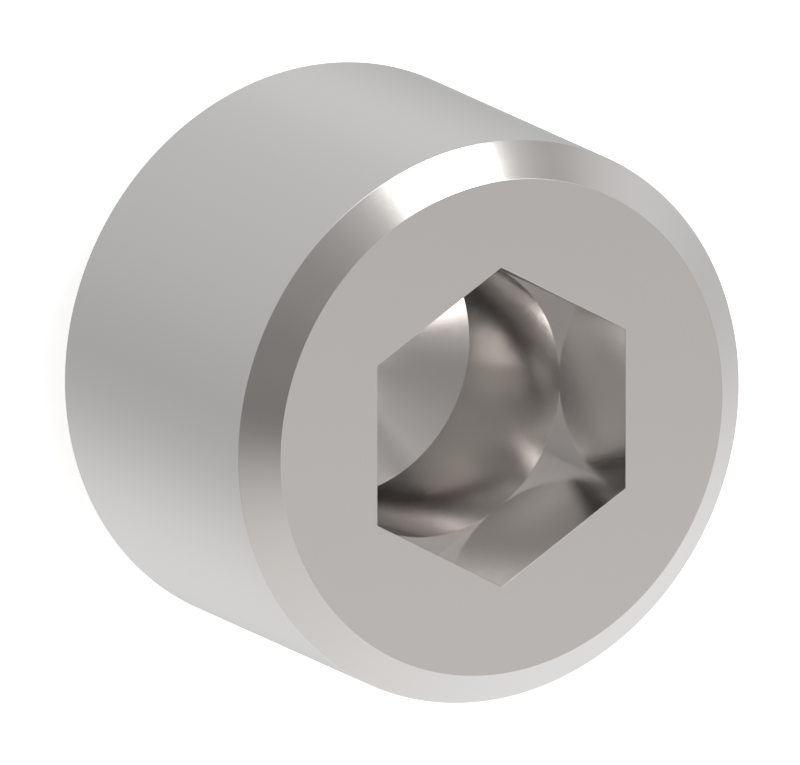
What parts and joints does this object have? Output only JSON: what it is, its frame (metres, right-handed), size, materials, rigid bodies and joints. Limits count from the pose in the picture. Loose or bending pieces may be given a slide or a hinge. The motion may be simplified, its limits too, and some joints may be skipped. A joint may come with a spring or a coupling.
{
  "type": "hex socket plug",
  "caption": "Short round metal plug, chamfered at both ends, with a hexagon key socket in one face over a blind drilled hole.",
  "frame": {"origin": "centre of the closed end face, the face the plug stands on", "axes": "+Z along the plug's axis, out of the socket; two corners of the hexagon point along +Y and -Y, and two flats face +X and -X"},
  "size_m": [0.0162, 0.0162, 0.012],
  "materials": {
    "turned_steel": "fine turned, bright"
  },
  "bodies": {
    "root": {"plug_body": "turned_steel"}
  },
  "joints": []
}
